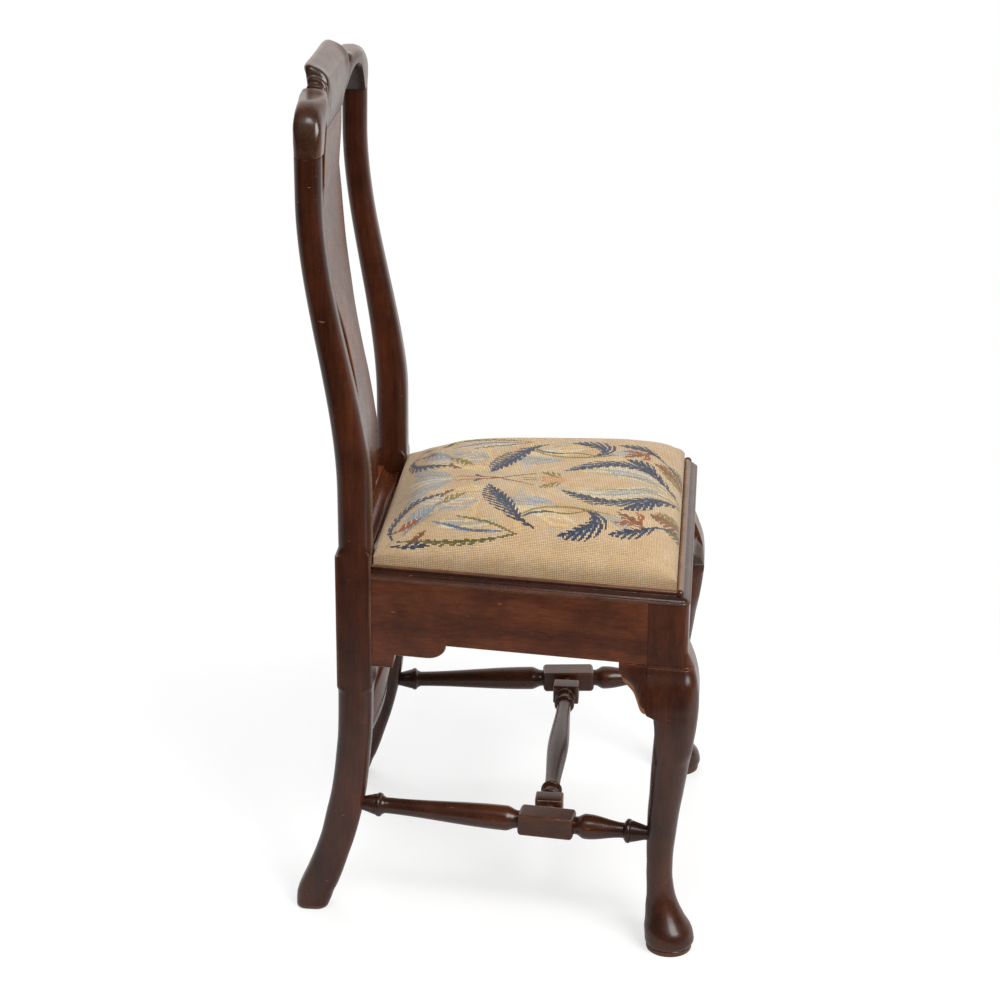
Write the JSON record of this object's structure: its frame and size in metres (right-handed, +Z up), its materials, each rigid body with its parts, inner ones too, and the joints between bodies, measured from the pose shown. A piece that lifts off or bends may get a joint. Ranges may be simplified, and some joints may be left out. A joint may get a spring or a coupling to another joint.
{
  "type": "side chair",
  "caption": "Side chair with a vase-shaped back splat, shaped knees with pad feet, turned stretchers and a crowned needlework seat that lifts out.",
  "frame": {"origin": "middle of the footprint, on the floor under the four feet", "axes": "+X to the seated person's left, -Y the way the chair faces, +Z up"},
  "size_m": [0.5148, 0.48, 1.007],
  "materials": {
    "walnut": "old reddish-brown walnut, polished and worn",
    "walnut_dark": "darker walnut, polished, edges worn lighter",
    "inner_wood": "plain beech, unpolished",
    "jute_webbing": "woven jute strips",
    "linen": "plain linen cloth over hair stuffing",
    "needlework": "wool tent stitch on canvas, tan ground with scrolling leaves"
  },
  "bodies": {
    "frame": {"rear_post_right": "walnut_dark", "rear_post_left": "walnut_dark", "crest_rail": "walnut", "splat": "walnut", "splat_shoe": "walnut", "rear_rail": "walnut", "side_rail_right": "walnut", "side_rail_left": "walnut", "front_rail": "walnut", "front_leg_right": "walnut", "front_leg_left": "walnut", "knee_bracket_side_right": "walnut", "knee_bracket_side_left": "walnut", "knee_bracket_front_right": "walnut", "knee_bracket_front_left": "walnut", "side_stretcher_right": "walnut", "side_stretcher_left": "walnut", "medial_stretcher": "walnut", "rear_stretcher": "walnut_dark", "seat_moulding_right": "walnut_dark", "seat_moulding_left": "walnut_dark", "seat_moulding_front": "walnut_dark", "corner_block_front_right": "inner_wood", "corner_block_front_left": "inner_wood", "corner_block_rear_right": "inner_wood", "corner_block_rear_left": "inner_wood"},
    "slip_seat": {"slip_rail_front": "inner_wood", "slip_rail_rear": "inner_wood", "slip_rail_right": "inner_wood", "slip_rail_left": "inner_wood", "webbing_lengthwise": "jute_webbing", "webbing_crosswise": "jute_webbing", "base_cloth": "linen", "stuffing": "linen", "needlework_cover": "needlework"}
  },
  "joints": [
    {"name": "seat_lift", "type": "slide", "parent": "frame", "child": "slip_seat", "axis": [0, 0, 1], "range_m": [0, 0.12]}
  ]
}
